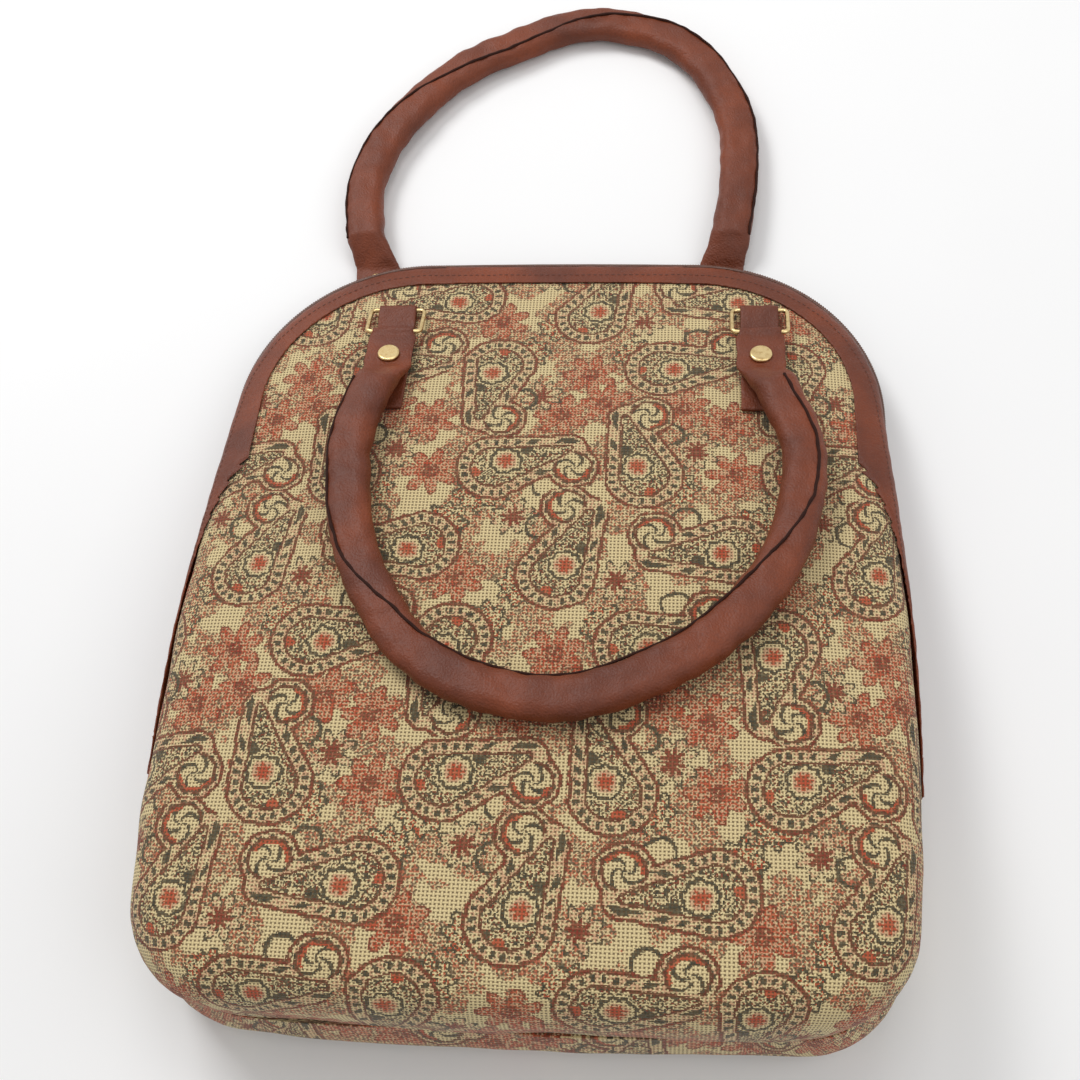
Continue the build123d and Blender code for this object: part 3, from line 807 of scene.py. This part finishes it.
brass_finish = brass("pale_brass")
for names, finish in (
    (("zip_tape_front", "zip_tape_back"), tape_finish),
    (("zip_coil_front", "zip_coil_back"), coil_finish),
    (("zip_stop_left", "zip_stop_right", "zip_slider", "zip_puller"), brass_finish),
):
    for name in names:
        dress(name, finish)

for side in ("front", "back"):
    turns = [bag_matrix(side) @ at for at, out in rim_places(*COIL_AT)]
    teeth = row_of(side + "_coil_turns", turns, COIL_PITCH, COIL_TURN, coil_finish)
    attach(teeth, "bag")

# Tabs and rings
# Each tab is a strip of the same leathercloth, folded through its wire ring and sewn to the
# panel. The rings, and the rivets that hold the handles' flaps, are pale brass.
for face in ("front", "back"):
    for hand in ("left", "right"):
        name = f"tab_{face}_{hand}"
        tab_mesh = softened(name, voxel=0.0007, rounds=2, wrinkle=0.0003, wrinkle_scale=150.0)
        tab = show(name + "_leather", tab_mesh, leather_finish)
        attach(tab, "bag")
        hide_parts(name)
        for part in ("ring", "rivet_cap", "rivet_post"):
            dress(f"{part}_{face}_{hand}", brass_finish)

# Handles
# A felt core in a leathercloth sleeve, closed by one long edge seam that wanders round the grip,
# with flat ends that are riveted through the rings.
SECTION_FLAT = 0.004        # half the flat top of the grip's section
SECTION_ROUND = 0.007       # radius of its round sides
GRIP_Z = 0.0093             # the grip's middle in the handle's own frame
SEAM_SIDES = 6
SEAM_RADIUS = 0.0008
SEAM_UNEVEN = 0.0003        # how far the seam's radius varies
SEAM_WANDER = 0.0006        # how far it strays across the grip
SEAM_SINK = 0.0003
ROUTE_STEP = 0.0015
BEND_SHARE = 0.45           # of the shorter leg, rounded off at each corner of the route
core_finish = mottled("felt_core", 0.95, 500.0, paint(190, 182, 166), paint(214, 208, 196), 0.0003)
seam_finish = mottled("seam_shadow", 0.85, 300.0, paint(26, 12, 8), paint(56, 26, 16), 0.0002, 0.2)
# The corners of each handle's route in millimetres, in the handle's own frame
ROUTES = {
    "front": [(-111, 42), (-126, 84), (-116, 141), (-80, 191), (-15, 223),
              (49, 205), (88, 143), (97, 78), (89, 42)],
    "back": [(-112, 42), (-117, 76), (-108, 114), (-73, 164), (5, 204),
             (67, 184), (95, 126), (95, 78), (90, 42)],
}
HANDLE_PLACES = {
    "front": Matrix.Translation((0, 0.0553265, 0.0354093)) @ Matrix.Rotation(-LAY, 4, "X")
    @ Matrix.Rotation(pi, 4, "Z") @ Matrix.Rotation(radians(4.35), 4, "X"),
    "back": Matrix.Translation((0, 0.088767, 0.0028)) @ Matrix.Rotation(-radians(1.404), 4, "X"),
}
# Where the edge seam runs across the grip, from -1 on the inside of the bend to 1 on the outside,
# at even steps from the handle's -x end to its +x end
SEAM_SIDE = {
    "front": [0.35, 0.55, 0.5, -0.4, -0.85, -0.95, -0.95, -0.95, -0.9, -0.4, 0.6, 0.9, 0.9, 0.85],
    "back": [0.9, 0.9, 0.85, 0.5, -0.2, -0.5, -0.4, 0.2, 0.6, 0.75, 0.85, 0.9, 0.9, 0.9],
}


def route_line(corners, steps=24):
    """Points along a handle's bends, each with the direction to the outside of the bend."""
    corners = [Vector((x, y)) / 1000 for x, y in corners]
    points = [corners[0]]
    for before, here, after in zip(corners, corners[1:], corners[2:]):
        reach = BEND_SHARE * min((here - before).length, (after - here).length)
        a = here + (before - here).normalized() * reach
        b = here + (after - here).normalized() * reach
        for k in range(steps + 1):
            t = k / steps
            points.append(a * (1 - t) ** 2 + here * 2 * t * (1 - t) + b * t ** 2)
    points.append(corners[-1])
    even = [points[0]]
    for point in points[1:]:
        while (point - even[-1]).length > ROUTE_STEP:
            even.append(even[-1] + (point - even[-1]).normalized() * ROUTE_STEP)
    line = []
    for k, point in enumerate(even):
        along = (even[min(k + 1, len(even) - 1)] - even[max(k - 1, 0)]).normalized()
        line.append((point, Vector((-along.y, along.x))))
    return line


def seam_line(face):
    """A thin raised edge over the grip, wandering a little."""
    line = route_line(ROUTES[face])
    sides = SEAM_SIDE[face]
    count = SEAM_SIDES
    rings = []
    for k, (middle, out) in enumerate(line):
        share = k / (len(line) - 1) * (len(sides) - 1)
        low = min(int(share), len(sides) - 2)
        side = sides[low] + (sides[low + 1] - sides[low]) * (share - low)
        stray = SEAM_WANDER * noise.noise(Vector((k * 0.21, 3.7, 0)))
        across = side * (SECTION_FLAT + SECTION_ROUND) + stray
        past = max(0.0, abs(across) - SECTION_FLAT)
        lift = sqrt(max(0.0, SECTION_ROUND ** 2 - past ** 2))
        x, y = middle.x + out.x * across, middle.y + out.y * across
        centre = Vector((x, y, GRIP_Z + lift - SEAM_SINK))
        outwards = Vector((out.x, out.y, 0))
        radius = SEAM_RADIUS + SEAM_UNEVEN * noise.noise(Vector((k * 0.33, 0, 9.1)))
        ring = []
        for n in range(count):
            turn = 2 * pi * n / count
            ring.append(centre + (outwards * cos(turn) + Vector((0, 0, 1)) * sin(turn)) * radius)
        rings.append(ring)
    mesh = bpy.data.meshes.new(face + "_seam")
    faces = []
    for k in range(0, count * (len(rings) - 1), count):
        for n in range(count):
            after = (n + 1) % count
            faces.append((k + n, k + after, k + count + after, k + count + n))
    end = count * (len(rings) - 1)
    faces += [tuple(range(count - 1, -1, -1)), tuple(range(end, end + count))]
    mesh.from_pydata([HANDLE_PLACES[face] @ p for ring in rings for p in ring], [], faces)
    mesh.shade_smooth()
    return mesh


for face in ("front", "back"):
    name = "handle_" + face
    seam = show(name + "_seam", seam_line(face), seam_finish)
    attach(seam, name)
    sleeve = softened(name, voxel=0.0013, rounds=3, wrinkle=0.0009, wrinkle_scale=120.0)
    handle = show(name + "_leather", sleeve, leather_finish)
    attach(handle, name)
    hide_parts(name)
    dress("handle_core_" + face, core_finish)
